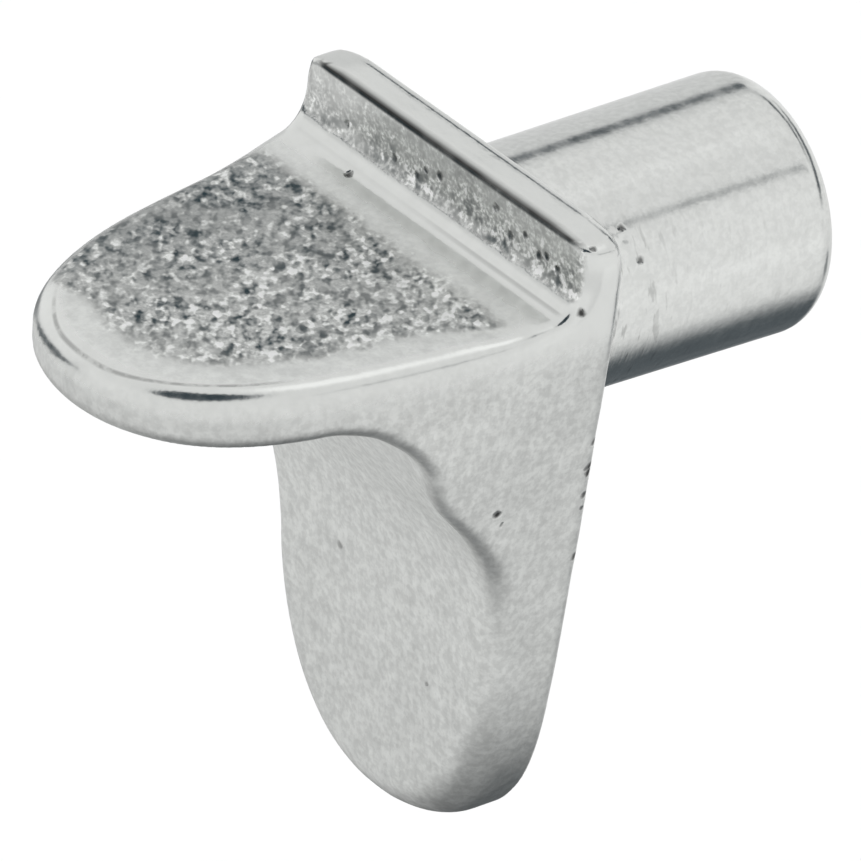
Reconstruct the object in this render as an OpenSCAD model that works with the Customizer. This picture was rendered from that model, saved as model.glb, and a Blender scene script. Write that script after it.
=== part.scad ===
// Shelf support pin: one zinc die casting.
// A round pin pushes into a bored hole in a cabinet side. In front of it stands a
// tapering plate: a low lip at the top, a flat tongue that carries the shelf, and a
// leg that bears on the cabinet side, with a curved gusset under the tongue.
// Origin: on the pin's axis, at the plate's back face.
// +Y runs along the pin into the cabinet side, +X across, +Z up. Millimetres.

/* [Pin] */

// Diameter of the pin, made for a 5 mm bored hole
pin_d = 5.0; // [4.0:0.1:6.0]

// Length of the pin from the plate's back face to its end
pin_len = 6.7; // [4.0:0.1:12.0]

// Radius rolled over the edge of the pin's end
pin_edge = 0.55; // [0.1:0.05:1.0]

/* [Plate] */

// Width of the plate and of the tongue's root
width = 9.3; // [8.0:0.1:12.0]

// Height of the lip's top above the pin's axis
lip_top = 3.3; // [3.0:0.05:4.5]

// Thickness of the lip above the tongue
lip_thick = 0.85; // [0.6:0.05:1.2]

// Radius along the lip's front and back top edges
lip_edge = 0.25; // [0.1:0.05:0.3]

// Radius of the lip's top corners, seen from the front
lip_corner = 0.75; // [0.3:0.05:1.0]

// Depth of the leg's lowest point below the pin's axis
leg_drop = 10.85; // [9.0:0.05:14.0]

// Thickness of the leg
leg_thick = 1.8; // [1.4:0.1:2.6]

// Inward slope of each side of the leg, in degrees
leg_slope = 6.2; // [2:0.1:9]

// Radius along the leg's lower front edge
leg_front_edge = 0.6; // [0.2:0.05:0.8]

// Radius along the leg's lower back edge
leg_back_edge = 0.25; // [0.1:0.05:0.4]

/* [Tongue] */

// Height of the shelf seat, the tongue's top face, above the pin's axis
seat_height = 1.65; // [1.2:0.05:2.2]

// Reach of the tongue in front of the plate's back face
reach = 9.4; // [8.0:0.1:12.0]

// Thickness of the tongue
tongue_thick = 1.2; // [0.9:0.05:1.6]

// Inward slope of each side of the tongue, in degrees
tongue_slope = 8.0; // [3:0.1:10]

// Radius along the tongue's top rim at the tip
rim_top = 0.55; // [0.2:0.05:0.6]

// Radius along the tongue's bottom rim at the tip
rim_bottom = 0.4; // [0.1:0.05:0.5]

// Radius of the inside fillet between the seat and the lip
lip_fillet = 0.65; // [0.3:0.05:0.9]

/* [Gusset] */

// Distance along the tongue's underside that the gusset reaches in front of the leg
gusset_reach = 3.8; // [3.0:0.1:5.0]

// Distance that the gusset runs down the leg's front
gusset_drop = 6.4; // [5.0:0.1:7.5]

// Radius of the gusset's hollow curve
gusset_radius = 12.0; // [9:0.5:20]

/* [Hidden] */

$fn = 96;

// Half widths and the height where the leg's taper starts
half = width / 2;
taper_top = 2.4;
ext = 20;

// Circle that closes the leg's lower end, tangent to both sloping sides
leg_r = (half * cos(leg_slope) - sin(leg_slope) * (taper_top + leg_drop)) / (1 - sin(leg_slope));
leg_cz = leg_r - leg_drop;

// Circle that closes the tongue's tip, tangent to both sloping sides
tip_r = (half * cos(tongue_slope) - sin(tongue_slope) * reach) / (1 - sin(tongue_slope));
tip_cu = reach - tip_r;

// Underside of the tongue, the gusset's two ends and the centre of its hollow arc
under = seat_height - tongue_thick;
ga = [leg_thick + gusset_reach, under];
gb = [leg_thick, under - gusset_drop];
g_chord = norm(ga - gb);
g_dir = (ga - gb) / g_chord;
g_out = [g_dir[1], -g_dir[0]];
g_centre = (ga + gb) / 2 + g_out * sqrt(gusset_radius * gusset_radius - g_chord * g_chord / 4);

// Draws a side section out along X; its first coordinate is the distance in front of the back face
module across() {
    rotate([90, 0, -90]) linear_extrude(height = width + 4, center = true) children();
}

// What an outside corner loses to a radius; the corner is at the origin and the solid lies at -x, -y
module corner_loss(r) {
    difference() {
        translate([-r, -r]) square(r + 0.5);
        translate([-r, -r]) circle(r);
    }
}

// What an inside corner gains from a fillet; the corner is at the origin and the space lies at +x, +y
module fillet_gain(r) {
    difference() {
        translate([-0.2, -0.2]) square(r + 0.2);
        translate([r, r]) circle(r);
    }
}

// Side section: lip, tongue, leg, inside fillet and gusset in one outline
module side_section() {
    difference() {
        union() {
            // lip and leg
            translate([0, -leg_drop]) square([lip_thick, leg_drop + lip_top]);
            translate([0, -leg_drop]) square([leg_thick, leg_drop + seat_height]);
            // tongue
            translate([0, under]) square([reach, tongue_thick]);
            // inside fillet between the lip and the seat
            translate([lip_thick, seat_height]) fillet_gain(lip_fillet);
            // gusset
            difference() {
                polygon([[0.3, under + 0.3], [ga[0], under + 0.3], ga, gb, [0.3, gb[1]]]);
                translate(g_centre) circle(gusset_radius, $fn = 240);
            }
        }
        translate([lip_thick, lip_top]) corner_loss(lip_edge);
        translate([0, lip_top]) mirror([1, 0]) corner_loss(lip_edge);
        translate([reach, seat_height]) corner_loss(rim_top);
        translate([reach, under]) mirror([0, 1]) corner_loss(rim_bottom);
        translate([leg_thick, -leg_drop]) mirror([0, 1]) corner_loss(leg_front_edge);
        translate([0, -leg_drop]) mirror([1, 0]) mirror([0, 1]) corner_loss(leg_back_edge);
    }
}

// Front outline: square-shouldered lip with rounded corners, narrowing to the leg's round end
module front_outline() {
    difference() {
        union() {
            polygon([
                [-half, lip_top], [half, lip_top], [half, taper_top],
                [leg_r * cos(leg_slope), leg_cz - leg_r * sin(leg_slope)],
                [-leg_r * cos(leg_slope), leg_cz - leg_r * sin(leg_slope)],
                [-half, taper_top]
            ]);
            translate([0, leg_cz]) circle(leg_r, $fn = 144);
        }
        translate([half, lip_top]) corner_loss(lip_corner);
        translate([-half, lip_top]) mirror([1, 0]) corner_loss(lip_corner);
    }
}

// Plan outline: straight tapering sides and a round tip
module plan_outline() {
    polygon([
        [-half, 1], [half, 1], [half, 0],
        [tip_r * cos(tongue_slope), -tip_cu - tip_r * sin(tongue_slope)],
        [-tip_r * cos(tongue_slope), -tip_cu - tip_r * sin(tongue_slope)],
        [-half, 0]
    ]);
    translate([0, -tip_cu]) circle(tip_r, $fn = 144);
}

// Round pin with a rolled edge at its end
module pin() {
    rotate([-90, 0, 0]) rotate_extrude($fn = 128) difference() {
        translate([0, -0.8]) square([pin_d / 2, pin_len + 0.8]);
        translate([pin_d / 2, pin_len]) corner_loss(pin_edge);
    }
}

// Plate: what the side section, the front outline and the plan outline have in common
module plate() {
    intersection() {
        across() side_section();
        translate([0, 1, 0]) rotate([90, 0, 0]) linear_extrude(height = reach + 2) front_outline();
        translate([0, 0, -leg_drop - 1]) linear_extrude(height = leg_drop + lip_top + 2) plan_outline();
    }
}

// The whole casting
module shelf_support() {
    color([0.74, 0.75, 0.75]) union() {
        plate();
        pin();
    }
}

shelf_support();
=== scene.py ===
import math

import bpy
import numpy as np
from mathutils import Matrix, Vector


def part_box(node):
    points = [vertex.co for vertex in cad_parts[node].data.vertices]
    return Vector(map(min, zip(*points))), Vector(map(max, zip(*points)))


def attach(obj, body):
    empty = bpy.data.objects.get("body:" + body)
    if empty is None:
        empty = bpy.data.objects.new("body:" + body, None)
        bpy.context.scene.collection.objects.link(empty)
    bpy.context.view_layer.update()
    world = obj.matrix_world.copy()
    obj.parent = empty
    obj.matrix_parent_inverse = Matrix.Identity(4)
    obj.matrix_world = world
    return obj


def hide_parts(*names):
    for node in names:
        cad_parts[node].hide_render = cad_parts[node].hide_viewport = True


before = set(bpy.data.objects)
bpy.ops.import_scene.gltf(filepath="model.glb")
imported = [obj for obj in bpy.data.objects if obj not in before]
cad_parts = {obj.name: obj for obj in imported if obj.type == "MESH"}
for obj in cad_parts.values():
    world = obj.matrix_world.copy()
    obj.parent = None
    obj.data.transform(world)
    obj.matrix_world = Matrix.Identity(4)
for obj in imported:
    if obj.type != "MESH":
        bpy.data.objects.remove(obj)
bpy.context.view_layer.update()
NODE = "shelf_support"

# ---------------------------------------------------------------- sizes, in millimetres, as in the part's source
LO, HI = [np.array(list(v)) * 1e3 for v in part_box(NODE)]
HALF = HI[0]                    # half width
PIN_LEN = HI[1]
REACH = -LO[1]
LIP_TOP = 3.3
LIP_FALL = 0.075                # the lip's top falls this much towards its front edge
DROP = 10.85
SEAT = 1.65                     # height of the tongue's top
THICK = 1.2                     # thickness of the tongue in front of the gusset
LIP = 0.85                      # lip thickness
FILLET = 0.64                   # inside fillet between seat and lip
LEG = 1.76                      # leg thickness
PIN_R = 2.47
PIN_FLARE = 0.08                # the pin swells this much towards its end
PIN_EDGE = 0.58
SEAT_RISE = 0.085               # the seat climbs this much towards the lip's fillet
FRONT_CUT, FRONT_POWER, FRONT_LEAN, FRONT_TOP = 0.374, 10.7, -0.0215, 2.38
LOW_R, END_R = 0.5, 0.62         # rounding of the leg's front edges, and how much it grows at the leg's end
# the gusset's hollow, from the tongue's underside down to the leg's front, and its worn edge on the right
HOLLOW = [(6.4, SEAT - THICK), (5.8, 0.44), (5.1, 0.26), (4.6, -0.04), (4.15, -0.39), (3.78, -0.85), (3.42, -1.4), (3.04, -2.0),
          (2.62, -2.7), (2.22, -3.4), (1.94, -4.2), (1.8, -5.1), (LEG, -6.0)]
WORN = [(6.4, SEAT - THICK), (5.8, 0.44), (5.1, 0.24), (4.6, -0.06), (4.2, -0.4), (3.9, -0.8), (3.76, -1.2), (3.5, -1.8),
        (3.0, -2.4), (2.5, -3.0), (2.05, -3.75), (1.84, -4.6), (1.77, -5.5), (LEG, -6.3)]
STEP = 0.1                      # mesh pitch


# ---------------------------------------------------------------- outlines
def arc(cx, cy, r, a0, a1, n):
    t = np.radians(np.linspace(a0, a1, n))
    return list(zip(cx + r * np.cos(t), cy + r * np.sin(t)))


def curve(points, n):
    """Smooth line through the points."""
    p = np.array([points[0]] + list(points) + [points[-1]], float)
    out = []
    for a, b, c, e in zip(p, p[1:], p[2:], p[3:]):
        for t in np.linspace(0, 1, n, endpoint=False):
            out.append(tuple(0.5 * (2 * b + (c - a) * t + (2 * a - 5 * b + 4 * c - e) * t * t + (3 * b - a - 3 * c + e) * t ** 3)))
    return out + [tuple(p[-1])]


def tapered(half, length, cut, power, lean, n=70):
    """Half outline of a blade that narrows evenly and closes with a round end."""
    v = length * np.sin(np.linspace(0, np.pi / 2, n))
    w = half * (1 - cut * v / length) * np.sqrt(np.maximum(1 - (v / length) ** power, 0))
    s = lean * v
    return [(a + b, c) for a, b, c in zip(w, s, v)], [(-a + b, c) for a, b, c in zip(w[::-1], s[::-1], v[::-1])][1:]


def plan_outline():
    right, left = tapered(HALF, REACH, 0.296, 6.7, 0.040)
    return np.array([(HALF, -1.0)] + right + left + [(-HALF, -1.0)])


def front_outline():
    z0 = FRONT_TOP
    right, left = tapered(HALF, z0 + DROP, FRONT_CUT, FRONT_POWER, FRONT_LEAN)
    corners = []
    for side, rx, rz in ((1, 1.25, 0.72), (-1, 1.45, 0.8)):
        c = [(side * (HALF - rx + rx * math.cos(t)), LIP_TOP + 0.05 - rz + rz * math.sin(t)) for t in np.radians(np.linspace(58, 0, 10))]
        slope = rz * math.cos(math.radians(58)) / (rx * math.sin(math.radians(58)))
        peak = (0.0, c[0][1] + abs(c[0][0]) * slope)
        corners.append([peak] + c)
    return np.array(corners[0] + [(x, z0 - v) for x, v in right] + [(x, z0 - v) for x, v in left] + corners[1][::-1][:-1] )


def side_outline(hollow):
    """(distance in front of the back face, height), left open at the back"""
    rf = 0.12
    pts = [(-3, -DROP - 1), (-3, LIP_TOP + 3 * LIP_FALL / LIP)]
    pts += arc(LIP - rf, LIP_TOP - LIP_FALL - rf, rf, 85, 0, 7)
    low = SEAT + SEAT_RISE
    pts += arc(LIP + FILLET, low + FILLET, FILLET, 180, 262, 14)
    u0, v0 = pts[-1]
    for t in np.linspace(0, 1, 9)[1:]:
        pts.append((u0 + 1.15 * t, SEAT + (v0 - SEAT) * (1 - t) ** 2))
    pts += [(REACH + 1, SEAT), (REACH + 1, SEAT - THICK)]
    pts += curve(hollow, 6)
    pts.append((LEG, -DROP - 1))
    return np.array(pts)


# ---------------------------------------------------------------- signed distances
class Field:
    """Signed distance to a closed outline, kept on a fine grid and read between its points."""
    def __init__(self, poly, lo, hi, h=0.03):
        self.lo, self.h = np.array(lo, float), h
        n = np.ceil((np.array(hi) - lo) / h).astype(int) + 2
        a = lo[0] + h * np.arange(n[0])
        b = lo[1] + h * np.arange(n[1])
        X, Y = [g.ravel() for g in np.meshgrid(a, b, indexing="ij")]
        best = np.full(X.shape, 1e9)
        inside = np.zeros(X.shape, bool)
        for (ax, ay), (bx, by) in zip(poly, np.roll(poly, -1, 0)):
            ex, ey = bx - ax, by - ay
            l2 = ex * ex + ey * ey
            if l2 < 1e-16:
                continue
            wx, wy = X - ax, Y - ay
            t = np.clip((wx * ex + wy * ey) / l2, 0, 1)
            best = np.minimum(best, (wx - t * ex) ** 2 + (wy - t * ey) ** 2)
            if ay != by:
                inside ^= ((ay > Y) != (by > Y)) & (X < ax + (Y - ay) * ex / ey)
        d = np.sqrt(best)
        d[inside] *= -1
        self.g = d.reshape(n)

    def __call__(self, x, y):
        fx, fy = (x - self.lo[0]) / self.h, (y - self.lo[1]) / self.h
        ix = np.clip(fx.astype(int), 0, self.g.shape[0] - 2)
        iy = np.clip(fy.astype(int), 0, self.g.shape[1] - 2)
        tx, ty = fx - ix, fy - iy
        g = self.g
        return (g[ix, iy] * (1 - tx) * (1 - ty) + g[ix + 1, iy] * tx * (1 - ty)
                + g[ix, iy + 1] * (1 - tx) * ty + g[ix + 1, iy + 1] * tx * ty)


def ramp(x, a, b):
    t = np.clip((x - a) / (b - a), 0, 1)
    return t * t * (3 - 2 * t)


def round_max(a, b, r):
    return np.minimum(np.maximum(a, b) + r, 0) + np.sqrt(np.maximum(a + r, 0) ** 2 + np.maximum(b + r, 0) ** 2) - r


PAD = 0.5
PLAN = Field(plan_outline(), (-HALF - PAD, -PIN_LEN - PAD), (HALF + PAD, REACH + PAD))
FRONT = Field(front_outline(), (-HALF - PAD, -DROP - PAD), (HALF + PAD, LIP_TOP + PAD))
SIDE, SIDE_WORN = [Field(side_outline(k), (-PIN_LEN - PAD, -DROP - PAD), (REACH + PAD, LIP_TOP + PAD)) for k in (HOLLOW, WORN)]


def blend_max(a, b, k):
    h = np.maximum(k - np.abs(a - b), 0) / k
    return np.maximum(a, b) + h * h * k / 4


def body(x, y, z):
    """Signed distance to the casting."""
    u = -y
    p, f = PLAN(x, u), FRONT(x, z)
    f = f + 0.12 * ramp(-x, 2.0, 3.2) * ramp(-z, 0.6, 2.4) * (1 - ramp(-z, 6.0, 8.5)) + ramp(-z, 8.5, 10.5) * (0.04 - 0.05 * ramp(x, 0.2, 2.0))
    w = blend_max(p, f, 0.25)
    # the seat sinks a little towards the rim at the tip and on the right
    near = np.clip((1.15 + p) / 0.85, 0, 1.3) ** 2 * ramp(x + 0.9 * (u - 6), -4, -1) * ramp(u, 1.3, 2.4)
    zz = z + 0.05 * near * ramp(z, 0.7, 1.3) * (1 - ramp(z, SEAT + 0.25, SEAT + 0.7))
    k = ramp(x, HALF - 1.9, HALF - 0.7)
    s = SIDE(u, zz) * (1 - k) + SIDE_WORN(u, zz) * k
    top = ramp(z, 0.75, 1.25)
    r = top * (0.27 + 0.26 * ramp(u, 1.5, 3.5)) + (1 - top) * (0.25 + 0.1 * ramp(u, 3.8, 5.0))
    r = r + 0.09 * ramp(z, 2.0, 2.6) + ((LOW_R - 0.27) * ramp(-z, 2.0, 6.0) + END_R * ramp(-z, 6.5, 10.3)) * (1 - ramp(u, 2.2, 3.2))
    r = r - 0.12 * ramp(z, LIP_TOP - 0.5, LIP_TOP - 0.2)
    plate = round_max(w, s, r)
    plate = round_max(plate, y, 0.27 - 0.07 * ramp(z, 2.8, 3.1) - 0.1 * ramp(-z, 7.0, 9.5))
    rad = np.sqrt(x * x + z * z) - (PIN_R + PIN_FLARE * np.clip(y / PIN_LEN, 0, 1))
    pin = np.maximum(round_max(rad, y - PIN_LEN, PIN_EDGE), -y - 0.5)
    return -round_max(-plate, -pin, 0.16)


# ---------------------------------------------------------------- surface
def surface(h):
    xs = np.arange(-HALF - 3 * h, HALF + 4 * h, h)
    ys = np.arange(-REACH - 3 * h, PIN_LEN + 4 * h, h)
    zs = np.arange(-DROP - 3 * h, LIP_TOP + 4 * h, h)
    f = np.empty((len(xs), len(ys), len(zs)), np.float32)
    Y, Z = np.meshgrid(ys, zs, indexing="ij")
    for i, x in enumerate(xs):
        f[i] = body(np.full(Y.shape, x), Y, Z)
    neg = f < 0
    shape = np.array(f.shape)
    total = np.zeros(tuple(shape - 1) + (3,), np.float32)
    count = np.zeros(tuple(shape - 1), np.int16)
    quads = []
    for ax in range(3):
        a = [slice(None)] * 3
        b = [slice(None)] * 3
        a[ax], b[ax] = slice(0, -1), slice(1, None)
        na, nb = neg[tuple(a)], neg[tuple(b)]
        I = np.nonzero(na != nb)
        fa, fb = f[tuple(a)][I], f[tuple(b)][I]
        t = fa / (fa - fb)
        pos = np.stack([I[0], I[1], I[2]], -1).astype(np.float32)
        pos[:, ax] += t
        o1, o2 = [k for k in range(3) if k != ax]
        cells = []
        for d1, d2 in ((0, 0), (1, 0), (1, 1), (0, 1)):
            c = [I[0].copy(), I[1].copy(), I[2].copy()]
            c[o1] = c[o1] - d1
            c[o2] = c[o2] - d2
            np.add.at(total, tuple(c), pos)
            np.add.at(count, tuple(c), 1)
            cells.append(np.stack(c, -1))
        q = np.stack(cells, 1)
        flip = na[I] if ax != 1 else ~na[I]
        q[~flip] = q[~flip][:, ::-1]
        quads.append(q)
    quads = np.concatenate(quads)
    used = np.nonzero(count)
    index = np.full(count.shape, -1, np.int64)
    index[used] = np.arange(len(used[0]))
    verts = total[used] / count[used][:, None]
    verts = verts * h + np.array([xs[0], ys[0], zs[0]], np.float32)
    faces = index[quads[..., 0], quads[..., 1], quads[..., 2]]
    return verts.astype(float), faces


def gradient(fn, v, e=0.02):
    g = np.empty_like(v)
    for k in range(3):
        d = np.zeros(3)
        d[k] = e
        a, b = v + d, v - d
        g[:, k] = (fn(a[:, 0], a[:, 1], a[:, 2]) - fn(b[:, 0], b[:, 1], b[:, 2])) / (2 * e)
    return g


verts, faces = surface(STEP)
for _ in range(3):
    g = gradient(body, verts)
    d = body(verts[:, 0], verts[:, 1], verts[:, 2])
    verts -= np.clip(d / np.maximum((g * g).sum(1), 0.2), -0.05, 0.05)[:, None] * g
g = gradient(body, verts)
normals = g / np.linalg.norm(g, axis=1)[:, None]


def lumps(v, pitch, seed):
    """Smooth uneven field of about -1 to 1, seeded."""
    grid = np.random.RandomState(seed).uniform(-1, 1, (32, 32, 32))
    q = (v - v.min(0)) / pitch + 1.3
    i = np.floor(q).astype(int)
    t = q - i
    t = t * t * (3 - 2 * t)
    out = 0
    for a in (0, 1):
        for b in (0, 1):
            for c in (0, 1):
                w = (t[:, 0] if a else 1 - t[:, 0]) * (t[:, 1] if b else 1 - t[:, 1]) * (t[:, 2] if c else 1 - t[:, 2])
                out = out + w * grid[(i[:, 0] + a) % 32, (i[:, 1] + b) % 32, (i[:, 2] + c) % 32]
    return out


# the cast and tumbled faces aren't quite true; the pin is
uneven = 0.010 * lumps(verts, 1.1, 3) + 0.006 * lumps(verts, 0.55, 4)
verts += (uneven * (0.35 + 0.65 * ramp(-verts[:, 2], -1.2, 0.5)) * (1 - ramp(verts[:, 1], -0.15, 0.3)))[:, None] * normals


def make(name, v, f):
    me = bpy.data.meshes.new(name)
    me.vertices.add(len(v))
    me.vertices.foreach_set("co", (v / 1e3).astype(np.float32).ravel())
    me.loops.add(f.size)
    me.loops.foreach_set("vertex_index", f.astype(np.int32).ravel())
    me.polygons.add(len(f))
    me.polygons.foreach_set("loop_start", np.arange(0, f.size, 4, dtype=np.int32))
    me.polygons.foreach_set("use_smooth", np.ones(len(f), bool))
    me.update(calc_edges=True)
    me.validate()
    ob = bpy.data.objects.new(name, me)
    bpy.context.scene.collection.objects.link(ob)
    return ob


casting = make("casting", verts, faces)
print("casting", len(verts), "vertices", 2 * len(faces), "triangles")

# ---------------------------------------------------------------- where each finish is
x, y, z = verts.T
nx, ny, nz = normals.T
u = -y
inner = -PLAN(x, u)
far = 1 - ramp(x + 0.9 * (u - 6), -0.4, 1.3)       # the tongue's edge on the left, towards the wall
seat_w = ramp(nz, 0.95 - 0.4 * far, 0.99 - 0.2 * far) * ramp(z, SEAT - 0.25 - 0.1 * far, SEAT - 0.1 - 0.1 * far) * (1 - ramp(z, SEAT + 0.04, SEAT + 0.12))
seat_w = seat_w * ramp(inner, 0.6 - 0.58 * far, 1.8 - 1.3 * far) * ramp(u, LIP + FILLET + 0.15, LIP + FILLET + 1.15)
lip_w = ramp(-ny, 0.6, 0.8) * ramp(z, SEAT + 0.26, SEAT + 0.52) * (1 - ramp(z, LIP_TOP - 0.2, LIP_TOP - 0.12)) * ramp(u, 0.4, 0.7)
lip_w = lip_w * ramp(inner, 0.1, 0.4) * (u < LIP + FILLET + 0.1)
pin_w = ramp(y, 0.05, 0.25)
leg_w = np.maximum(ramp(-z, -1.6, -0.6), ramp(ny, 0.2, 0.8)) * (1 - pin_w)
edge_w = ramp(-ny, 0.12, 0.3) * ramp(z, LIP_TOP - 0.4, LIP_TOP - 0.3) * ramp(u, 0.4, 0.6) * ramp(inner, 0.25, 0.7)
shade_w = ramp(-x - 0.9 * (u - 6), 0.0, 3.5) * ramp(nz, 0.1, 0.6) * ramp(u, LIP + FILLET + 0.3, LIP + FILLET + 1.3) * (z < SEAT + 0.1) * (1 - ramp(inner, 0.9, 2.2))
# ring_d and ring_w mark a line just inside the tongue's outline towards its tip; the material gives it a faint groove
# and a painted dark reflection
ring = inner - (0.27 + 0.22 * ramp(x, 0.9, 3.1) + 0.12 * ramp(-x, 0.3, 1.8))
ring_w = ramp(u, 6.2, 7.4) * ramp(x, -2.1, -0.9) * ramp(nz, 0.3, 0.6)
bed_w = ramp(-ny, 0.3, 0.5) * ramp(z, SEAT + 0.02, SEAT + 0.06) * (1 - ramp(z, SEAT + 0.3, SEAT + 0.4)) * (u < LIP + FILLET + 0.1) * ramp(inner, 0.25, 0.5)
# the flat, upward-facing seat faces: a smoother finish, and painted light that makes them lighter
calm_and_lit_w = ramp(nz, 0.985, 0.998) * ramp(z, SEAT - 0.2, SEAT - 0.05) * (1 - ramp(z, SEAT + 0.04, SEAT + 0.1))
# painted shade: the rounded edges that face downwards, along the tongue and the leg, are darkened
under_w = ramp(-nz, 0.12, 0.4) * (1 - ramp(-nz, 0.75, 0.95)) * (1 - ramp(y, -0.1, 0.1)) * (1 - ramp(np.minimum(inner, -FRONT(x, z)), 0.22, 0.5))
# painted shade: a darker band on the downward-facing bottom edge of the leg, except on its right
hem_shade_w = (1 - ramp(-FRONT(x, z), 0.35, 0.8)) * ramp(-z, 7.8, 9.2) * (1 - ramp(x, 1.0, 2.6)) * ramp(-nz, 0.08, 0.34) * (1 - ramp(y, -1.2, -0.6))
# painted shade: the tongue's side faces are darkened a little
flank_shade_w = ramp(z, 0.1, 0.5) * (1 - ramp(z, 1.25, 1.5)) * (1 - ramp(np.abs(nz), 0.3, 0.7)) * ramp(u, 1.5, 3.5)
WEIGHTS = {"flank_shade": flank_shade_w, "hem_shade": hem_shade_w, "calm_and_lit": calm_and_lit_w, "under": under_w, "seat": seat_w, "lip": lip_w, "pin": pin_w, "leg": leg_w, "ring": ring_w, "bed": bed_w, "edge": edge_w, "shade": shade_w}
for key, w in WEIGHTS.items():
    at = casting.data.attributes.new(key + "_w", "FLOAT", "POINT")
    at.data.foreach_set("value", np.clip(w, 0, 1).astype(np.float32))
at = casting.data.attributes.new("ring_d", "FLOAT", "POINT")
at.data.foreach_set("value", np.clip(ring, -3, 3).astype(np.float32))


# ---------------------------------------------------------------- material
class Nodes:
    """Short calls for building a node tree."""
    def __init__(self, tree):
        self.t = tree

    def new(self, kind, **values):
        n = self.t.nodes.new(kind)
        for k, v in values.items():
            setattr(n, k, v)
        return n

    def put(self, sock, v):
        if isinstance(v, bpy.types.NodeSocket):
            self.t.links.new(v, sock)
        else:
            sock.default_value = v

    def math(self, op, a, b=0.0, c=0.0, clamp=False):
        n = self.new("ShaderNodeMath", operation=op, use_clamp=clamp)
        for s, v in zip(n.inputs, (a, b, c)):
            self.put(s, v)
        return n.outputs[0]

    def vec(self, op, a, b=(0, 0, 0)):
        n = self.new("ShaderNodeVectorMath", operation=op)
        self.put(n.inputs[0], a)
        self.put(n.inputs[1], b)
        return n.outputs["Value"] if op in ("DOT_PRODUCT", "LENGTH", "DISTANCE") else n.outputs["Vector"]

    def ramp(self, v, a, b, lo=0.0, hi=1.0):
        n = self.new("ShaderNodeMapRange", interpolation_type="SMOOTHSTEP")
        for s, w in zip(n.inputs, (v, a, b, lo, hi)):
            self.put(s, w)
        return n.outputs[0]

    def attr(self, name):
        return self.new("ShaderNodeAttribute", attribute_name=name).outputs["Fac"]

    def noise(self, p, scale, detail=2.0, rough=0.5, dist=0.0):
        n = self.new("ShaderNodeTexNoise")
        self.put(n.inputs["Vector"], p)
        n.inputs["Scale"].default_value = scale
        n.inputs["Detail"].default_value = detail
        n.inputs["Roughness"].default_value = rough
        n.inputs["Distortion"].default_value = dist
        return n.outputs["Fac"]

    def mix(self, f, a, b):
        """a and b are numbers"""
        return self.math("ADD", a, self.math("MULTIPLY", f, self.math("SUBTRACT", b, a)))


mat = bpy.data.materials.new("plated_zinc")
mat.use_nodes = True
N = Nodes(mat.node_tree)
bsdf = mat.node_tree.nodes["Principled BSDF"]
P = N.vec("MULTIPLY", N.new("ShaderNodeTexCoord").outputs["Object"], (1000, 1000, 1000))   # millimetres
flank_shade, hem_shade, calm_and_lit, under, seat, lipf, pin, leg, ring, bed, edge, shade = [N.attr(k + "_w") for k in WEIGHTS]
sep = N.new("ShaderNodeSeparateXYZ")
N.put(sep.inputs[0], P)

patchy = N.noise(P, 0.9, 2.0, 0.5)
# the skin's grain is a little drawn out across the tongue
drawn = N.new("ShaderNodeCombineXYZ")
for s, way in zip(drawn.inputs, ((0.61, 0.79, 0.0), (-0.5, 0.385, 0.0), (0.0, 0.0, 0.95))):
    N.put(s, N.vec("DOT_PRODUCT", P, way))
drawn = drawn.outputs[0]
speck = N.noise(drawn, 6.0, 1.3, 0.5)          # the rough cast skin of the seat and the lip's front
# glint: bright spots painted into the grain's colour as highlights, with a little bump
glint = N.noise(N.vec("ADD", drawn, (7.3, 2.9, 5.1)), 6.2, 1.1, 0.5)
ripple = N.noise(N.vec("MULTIPLY", P, (1.1, 5.0, 1.1)), 1.6, 2.0, 0.55)   # scraped rings round the pin's root
fine = N.noise(P, 13.0, 2.0, 0.5)
rare = N.noise(N.vec("ADD", drawn, (11.3, 4.7, 9.9)), 4.4, 0.0, 0.5)     # the few large dark grains, and large bright spots painted in as glints
mottle = N.noise(P, 2.6, 4.0, 0.62)            # soft unevenness of the tumbled faces
grit = N.noise(P, 7.0, 2.0, 0.6)
streak = N.noise(N.vec("MULTIPLY", P, (4.0, 4.0, 0.9)), 1.3, 3.0, 0.6)

cast = N.math("ADD", N.math("MAXIMUM", seat, lipf), N.math("MULTIPLY", N.math("SUBTRACT", mottle, 0.5), 0.7))
cast = N.ramp(cast, 0.12, 0.88)
cast = N.math("MULTIPLY", cast, N.math("MAXIMUM", N.ramp(seat, 0.0, 0.1), N.ramp(lipf, 0.0, 0.1)))
strong = N.math("MULTIPLY", cast, N.ramp(patchy, 0.35, 0.62, 0.6, 1.0))
# on the lip the grain is sparser and gathers low down and to the right
low = N.ramp(sep.outputs["Z"], LIP_TOP - 0.2, SEAT + 0.6, 0.4, 1.0)
strong = N.math("MULTIPLY", strong, N.mix(lipf, 1.0, N.math("MULTIPLY", low, N.ramp(sep.outputs["X"], -4.5, 3.5, 0.6, 0.9))))
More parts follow.
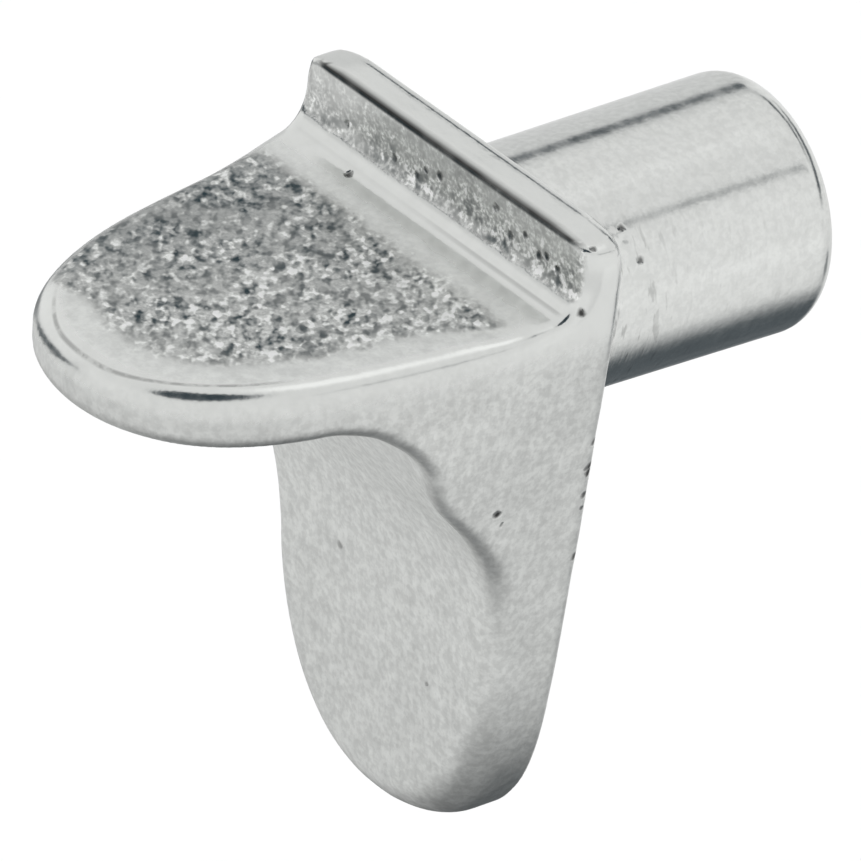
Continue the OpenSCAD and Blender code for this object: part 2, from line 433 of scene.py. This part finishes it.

# pits: small dark pores left by the casting, at (x, y, z) with a radius, in millimetres; the two at the lip's top right
# corner, by the pin, are painted shadow, not pores
PITS_AND_SHADOW = [(-2.2, -1.32, 1.72, 0.085, 1.0), (3.97, -2.2, -2.22, 0.08, 1.0), (3.93, -2.05, -2.52, 0.055, 0.6), (-1.38, -1.78, -5.67, 0.08, 0.5),
        (1.47, -1.76, -7.22, 0.05, 0.4), (1.89, 1.93, 1.62, 0.07, 0.8), (2.26, 2.12, 1.06, 0.075, 0.8), (4.44, -0.9, 1.9, 0.075, 1.0),
        (4.3, -0.6, 3.1, 0.06, 0.8), (4.4, -0.3, 2.95, 0.05, 0.8), (4.0, -0.17, -1.79, 0.085, 1.0), (3.98, -0.17, -1.93, 0.075, 1.0),
        (4.06, -0.15, -1.25, 0.065, 0.8), (3.9, -0.17, -2.45, 0.07, 0.8), (3.85, -0.17, -2.75, 0.05, 0.7), (3.67, -0.14, -3.87, 0.08, 0.9),
        (-1.48, -0.85, 2.3, 0.07, 0.8), (-0.77, -0.86, 2.28, 0.07, 0.9), (-0.5, -0.85, 2.5, 0.06, 0.9), (-0.07, -0.85, 2.6, 0.085, 1.0),
        (1.67, -0.85, 2.77, 0.08, 0.7), (2.12, -0.85, 2.4, 0.095, 0.8), (2.58, -0.85, 2.63, 0.08, 0.9), (3.03, -0.85, 2.42, 0.085, 1.0),
        (3.25, -0.85, 2.5, 0.07, 1.0), (3.6, -0.85, 2.38, 0.08, 0.9), (-2.97, -0.85, 2.32, 0.06, 0.7)]
# nubs: little beads of metal left where the pin meets the plate
NUBS = [(1.98, 1.72, 1.53, 0.11), (2.12, 1.9, 1.3, 0.10), (2.3, 2.15, 0.98, 0.13), (2.38, 1.75, 0.72, 0.09), (2.2, 2.6, 1.15, 0.08), (2.44, 2.3, 0.5, 0.08)]
wob = N.new("ShaderNodeTexNoise")
N.put(wob.inputs["Vector"], P)
wob.inputs["Scale"].default_value = 6.0
wob.inputs["Detail"].default_value = 0.5
near_p = N.vec("ADD", P, N.vec("MULTIPLY", N.vec("SUBTRACT", wob.outputs["Color"], (0.5, 0.5, 0.5)), (0.09, 0.09, 0.09)))


def spots(where, inner, outer):
    out = None
    for sx, sy, sz, sr, amount in where:
        one = N.ramp(N.vec("DISTANCE", near_p, (sx, sy, sz)), sr * inner, sr * outer, amount, 0.0)
        out = one if out is None else N.math("MAXIMUM", out, one)
    return out


pits_and_shadow = spots(PITS_AND_SHADOW, 0.35, 1.5)
nubs = spots([n + (1.0,) for n in NUBS], 0.0, 1.9)
root = N.math("MULTIPLY", pin, N.ramp(N.math("ADD", sep.outputs["Y"], N.math("MULTIPLY", mottle, 1.5)), 2.2, 4.2, 1.0, 0.15))
root = N.math("MULTIPLY", root, N.ramp(sep.outputs["Z"], 1.2, 2.0, 1.5, 0.15))

# painted reflection: a dark line along the rim near the tip, over a faint groove in the bump
line = N.math("ABSOLUTE", N.attr("ring_d"))
line = N.math("MULTIPLY", N.ramp(line, 0.01, 0.06, 1.0, 0.0), N.math("MULTIPLY", ring, N.ramp(mottle, 0.35, 0.55, 0.3, 1.0)))
# painted shade: a dark line along the crease of the fillet between the seat and the lip, stronger to the right
crease_shade = N.math("ABSOLUTE", N.math("SUBTRACT", sep.outputs["Z"], SEAT + 0.16))
crease_shade = N.math("MULTIPLY", N.ramp(crease_shade, 0.005, 0.035, 1.0, 0.0), N.math("MULTIPLY", bed, N.ramp(sep.outputs["X"], -1.0, 2.0, 0.15, 1.0)))

# painted shade: a dark line along the top front edge of the lip
brim_shade = N.math("ABSOLUTE", N.math("SUBTRACT", sep.outputs["Z"], LIP_TOP - 0.14))
brim_shade = N.math("MULTIPLY", N.ramp(brim_shade, 0.035, 0.105, 1.0, 0.0), N.math("MULTIPLY", edge, N.ramp(patchy, 0.3, 0.55, 0.88, 1.0)))

height = N.math("MULTIPLY", speck, N.math("MULTIPLY", strong, 0.016))
height = N.math("ADD", height, N.math("MULTIPLY", glint, N.math("MULTIPLY", strong, 0.008)))
height = N.math("ADD", height, N.math("MULTIPLY", nubs, 0.016))
height = N.math("ADD", height, N.math("MULTIPLY", ripple, N.math("MULTIPLY", root, 0.006)))
height = N.math("ADD", height, N.math("MULTIPLY", fine, N.math("MULTIPLY", cast, 0.004)))
height = N.math("ADD", height, N.math("MULTIPLY", mottle, N.mix(leg, 0.005, 0.011)))
height = N.math("ADD", height, N.math("MULTIPLY", streak, N.math("MULTIPLY", leg, 0.006)))
height = N.math("ADD", height, N.math("MULTIPLY", pits_and_shadow, -0.05))
height = N.math("ADD", height, N.math("MULTIPLY", line, -0.006))
bump = N.new("ShaderNodeBump")
bump.inputs["Strength"].default_value = 1.0
bump.inputs["Distance"].default_value = 0.001
N.put(bump.inputs["Height"], height)
N.put(bsdf.inputs["Normal"], bump.outputs["Normal"])

# the dark specks are grain; the bright glint and rare spots are painted highlights
dots = N.math("ADD", N.ramp(speck, 0.28, 0.62, 0.03, 0.74), N.ramp(glint, 0.5, 0.72, 0.0, 0.84))
# painted shade and light: the grain is darker to the left and lighter to the right
dots = N.math("MULTIPLY", dots, N.ramp(sep.outputs["X"], -2.6, 2.6, 0.82, 1.16))
dots = N.math("ADD", dots, N.ramp(rare, 0.66, 0.75, 0.0, 0.25))
dots = N.math("MULTIPLY", dots, N.ramp(rare, 0.27, 0.35, 0.6, 1.0))
dots = N.math("MULTIPLY", dots, N.mix(lipf, 1.0, N.ramp(fine, 0.38, 0.62, 0.65, 1.5)))
dots = N.math("MULTIPLY", dots, N.ramp(fine, 0.3, 0.7, 0.8, 1.15))
tone = N.mix(strong, N.mix(N.math("MULTIPLY", cast, N.math("SUBTRACT", 1.0, lipf)), 1.0, 0.75), dots)
tone = N.math("MULTIPLY", tone, N.mix(N.math("MAXIMUM", leg, calm_and_lit), N.ramp(mottle, 0.3, 0.7, 0.97, 1.02), N.ramp(mottle, 0.32, 0.68, 0.93, 1.04)))
tone = N.math("MULTIPLY", tone, N.mix(N.math("MAXIMUM", pin, calm_and_lit), 1.0, N.ramp(grit, 0.34, 0.66, 0.95, 1.03)))
tone = N.math("MULTIPLY", tone, N.mix(leg, 1.0, N.ramp(grit, 0.34, 0.66, 0.9, 1.06)))
tone = N.math("MULTIPLY", tone, N.mix(leg, 1.0, N.ramp(streak, 0.3, 0.7, 0.96, 1.03)))
# painted shade on the downward-facing edges
tone = N.math("MULTIPLY", tone, N.math("SUBTRACT", 1.0, N.math("MULTIPLY", under, N.ramp(mottle, 0.3, 0.6, 0.2, 0.34))))
# painted shade along the leg's bottom edge
tone = N.math("MULTIPLY", tone, N.math("SUBTRACT", 1.0, N.math("MULTIPLY", hem_shade, N.ramp(mottle, 0.3, 0.6, 0.32, 0.5))))
tone = N.math("MULTIPLY", tone, N.math("SUBTRACT", 1.0, N.math("MULTIPLY", root, N.ramp(ripple, 0.30, 0.42, 0.22, 0.0))))
# painted light: the flat seat faces are lightened
tone = N.math("MULTIPLY", tone, N.mix(calm_and_lit, 1.0, 1.08))
# painted shade on the tongue's sides
tone = N.math("MULTIPLY", tone, N.mix(flank_shade, 1.0, 0.93))
# painted shade: the leg darkens towards its bottom
tone = N.math("MULTIPLY", tone, N.mix(leg, 1.0, N.ramp(sep.outputs["Z"], -9.5, -5.0, 0.94, 1.0)))
# painted reflection along the rim near the tip
tone = N.math("MULTIPLY", tone, N.math("SUBTRACT", 1.0, N.math("MULTIPLY", line, 0.42)))
# painted shade in the fillet's crease
tone = N.math("MULTIPLY", tone, N.math("SUBTRACT", 1.0, N.math("MULTIPLY", crease_shade, 0.3)))
# dark pores, and painted shadow at the lip's top right corner
tone = N.math("MULTIPLY", tone, N.math("SUBTRACT", 1.0, N.math("MULTIPLY", pits_and_shadow, 0.92)))
# painted shade along the lip's top front edge
tone = N.math("MULTIPLY", tone, N.math("SUBTRACT", 1.0, N.math("MULTIPLY", brim_shade, 0.94)))
tone = N.math("MULTIPLY", tone, N.math("SUBTRACT", 1.0, N.math("MULTIPLY", shade, 0.14)))
col = N.new("ShaderNodeMix", data_type="RGBA", blend_type="MULTIPLY")
col.inputs["Factor"].default_value = 1.0
col.inputs[6].default_value = (0.755, 0.765, 0.75, 1)
comb = N.new("ShaderNodeCombineColor")
chill = N.math("MULTIPLY", strong, N.math("MAXIMUM", N.math("SUBTRACT", 0.8, tone), 0.0))
for s, blue in zip(comb.inputs, (0.0, 0.04, 0.06)):
    N.put(s, N.math("ADD", tone, N.math("MULTIPLY", chill, blue)))
N.put(col.inputs[7], comb.outputs[0])
N.put(bsdf.inputs["Base Color"], col.outputs[2])
bsdf.inputs["Metallic"].default_value = 1.0
rough = N.mix(leg, 0.15, 0.42)
rough = N.mix(calm_and_lit, rough, 0.46)
rough = N.mix(cast, rough, 0.36)
rough = N.mix(pin, rough, 0.16)
rough = N.math("ADD", rough, N.ramp(mottle, 0.3, 0.7, -0.03, 0.04))
N.put(bsdf.inputs["Roughness"], rough)
casting.data.materials.append(mat)
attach(casting, "root")
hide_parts(NODE)

# ---------------------------------------------------------------- floor, light and camera
me = bpy.data.meshes.new("floor")
s, z = 3.0, -0.08
me.from_pydata([(-s, -s, z), (s, -s, z), (s, s, z), (-s, s, z)], [], [(0, 1, 2, 3)])
floor = bpy.data.objects.new("floor", me)
bpy.context.scene.collection.objects.link(floor)
fm = bpy.data.materials.new("floor_white")
fm.use_nodes = True
fb = fm.node_tree.nodes["Principled BSDF"]
fb.inputs["Base Color"].default_value = (0.9, 0.9, 0.9, 1)
fb.inputs["Roughness"].default_value = 0.9
me.materials.append(fm)

world = bpy.data.worlds.new("studio")
bpy.context.scene.world = world
world.use_nodes = True
W = Nodes(world.node_tree)
ray = W.vec("NORMALIZE", W.new("ShaderNodeTexCoord").outputs["Generated"])
sep = W.new("ShaderNodeSeparateXYZ")
W.put(sep.inputs[0], ray)
light = W.ramp(sep.outputs["Z"], -0.5, -0.1, 0.79, 0.91)
light = W.math("MULTIPLY", light, W.ramp(sep.outputs["Z"], 0.3, 0.8, 1.0, 0.93))


def gap(at, along, half_len, half_wid, soft, keep):
    """A dark opening in the tent of light, an ellipse seen in one direction."""
    global light
    at = np.array(at) / np.linalg.norm(at)
    along = np.array(along) - (np.array(along) @ at) * at
    along /= np.linalg.norm(along)
    side = np.cross(at, along)
    a = W.vec("DOT_PRODUCT", ray, tuple(along / half_len))
    b = W.vec("DOT_PRODUCT", ray, tuple(side / half_wid))
    a = W.math("SUBTRACT", a, float(at @ along / half_len))
    b = W.math("SUBTRACT", b, float(at @ side / half_wid))
    q = W.math("SQRT", W.math("ADD", W.math("MULTIPLY", a, a), W.math("MULTIPLY", b, b)))
    m = W.ramp(q, 1 - soft, 1 + soft, keep, 1.0)
    ahead = W.math("GREATER_THAN", W.vec("DOT_PRODUCT", ray, tuple(at)), 0.0)
    light = W.math("MULTIPLY", light, W.mix(ahead, 1.0, m))


gap((0.17, -0.29, 0.94), (0.36, 0.90, 0.27), 0.40, 0.21, 0.10, 0.04)
gap((-0.92, -0.38, 0.0), (0.254, -0.811, 0.527), 0.44, 0.085, 0.2, 0.06)
gap((-0.69, -0.65, 0.30), (0.0, 0.40, 0.91), 0.22, 0.08, 0.4, 0.8)
gap((-0.19, 0.80, 0.54), (0.9, 0.38, -0.22), 0.43, 0.08, 0.4, 0.1)
gap((-0.88, 0.30, -0.34), (-0.5, -0.75, 0.44), 0.33, 0.08, 0.35, 0.3)
gap((-0.69, 0.53, 0.494), (0.43, 0.78, -0.30), 0.055, 0.09, 0.3, 0.05)
gap((-0.86, 0.50, 0.08), (0.1, 0.2, 0.97), 0.42, 0.24, 0.3, 0.78)
gap((0.563, 0.53, 0.634), (0.2, -0.85, 0.5), 0.30, 0.03, 0.4, 0.35)
gap((-0.17, 0.50, -0.85), (1.0, 0.0, 0.0), 0.38, 0.26, 0.35, 0.24)
gap((0.0, 0.25, -0.96), (1.0, 0.0, 0.0), 0.42, 0.60, 0.25, 0.50)
gap((0.12, 0.83, -0.54), (1.0, 0.0, 0.0), 0.14, 0.10, 0.3, 0.35)
gap((0.0, 0.97, 0.18), (1.0, 0.0, -0.28), 0.45, 0.13, 0.3, 0.10)
gap((0.70, 0.50, -0.48), (1.0, 0.0, 0.0), 0.34, 0.30, 0.4, 1.14)
gap((0.03, 0.36, 0.93), (1.0, 0.1, -0.05), 0.22, 0.13, 0.5, 1.35)
gap((-0.62, 0.44, -0.65), (0.6, 0.4, -0.5), 0.27, 0.15, 0.3, 0.3)
back = world.node_tree.nodes["Background"]
# the dark room beyond the openings is a little blue
tint = W.new("ShaderNodeCombineColor")
dim = W.math("MAXIMUM", W.math("SUBTRACT", 0.85, light), 0.0)
W.put(tint.inputs[0], light)
W.put(tint.inputs[1], W.math("ADD", W.math("MULTIPLY", light, 1.004), W.math("MULTIPLY", dim, 0.02)))
W.put(tint.inputs[2], W.math("ADD", light, W.math("MULTIPLY", dim, 0.035)))
# the backdrop behind the object stays plain white: only the metal mirrors the tent's openings
lens = W.new("ShaderNodeLightPath").outputs["Is Camera Ray"]
seen = W.new("ShaderNodeMix", data_type="RGBA")
W.put(seen.inputs["Factor"], lens)
W.put(seen.inputs[6], tint.outputs[0])
seen.inputs[7].default_value = (1, 1, 1, 1)
W.put(back.inputs[0], seen.outputs[2])
back.inputs[1].default_value = 1.0


def area(name, at, size, watts, target=(0, 0, 0)):
    li = bpy.data.lights.new(name, "AREA")
    li.shape = "SQUARE"
    li.size = size
    li.energy = watts
    ob = bpy.data.objects.new(name, li)
    bpy.context.scene.collection.objects.link(ob)
    ob.location = at
    ob.rotation_mode = "QUATERNION"
    ob.rotation_quaternion = (Vector(target) - Vector(at)).to_track_quat("-Z", "Y")
    return ob


overhead = area("overhead", (0.0, 0.0, 2.0), 2.0, 20.0)
overhead.visible_glossy = False
floor.visible_glossy = False

# camera: the photograph's direction, distance and lens
AZ, EL, ROLL = math.radians(52.4973), math.radians(29.566), math.radians(-2.9302)
PX_PER_MM, KAP, CX, CY, SIDE_PX = 54.0441, 0.0034, 473.045, 288.147, 861.0
d = np.array([-math.sin(AZ) * math.cos(EL), math.cos(AZ) * math.cos(EL), -math.sin(EL)])
right = np.array([math.cos(AZ), math.sin(AZ), 0.0])
up = np.cross(right, d)
R = math.cos(ROLL) * right - math.sin(ROLL) * up
U = math.sin(ROLL) * right + math.cos(ROLL) * up
f_px = PX_PER_MM / KAP
axis = d * f_px + (SIDE_PX / 2 - CX) * R - (SIDE_PX / 2 - CY) * U
axis /= np.linalg.norm(axis)
R = R - (R @ axis) * axis
R /= np.linalg.norm(R)
U = np.cross(R, axis)
cam = bpy.data.cameras.new("camera")
cam.sensor_width = 36.0
cam.lens = f_px * 36.0 / SIDE_PX
cam.clip_start, cam.clip_end = 0.01, 20.0
camera = bpy.data.objects.new("camera", cam)
bpy.context.scene.collection.objects.link(camera)
M = Matrix.Identity(4)
for k in range(3):
    M[k][0], M[k][1], M[k][2], M[k][3] = R[k], U[k], -axis[k], -d[k] / KAP / 1e3
camera.matrix_world = M
bpy.context.scene.camera = camera
bpy.context.scene.view_settings.view_transform = "Standard"

bpy.context.view_layer.update()
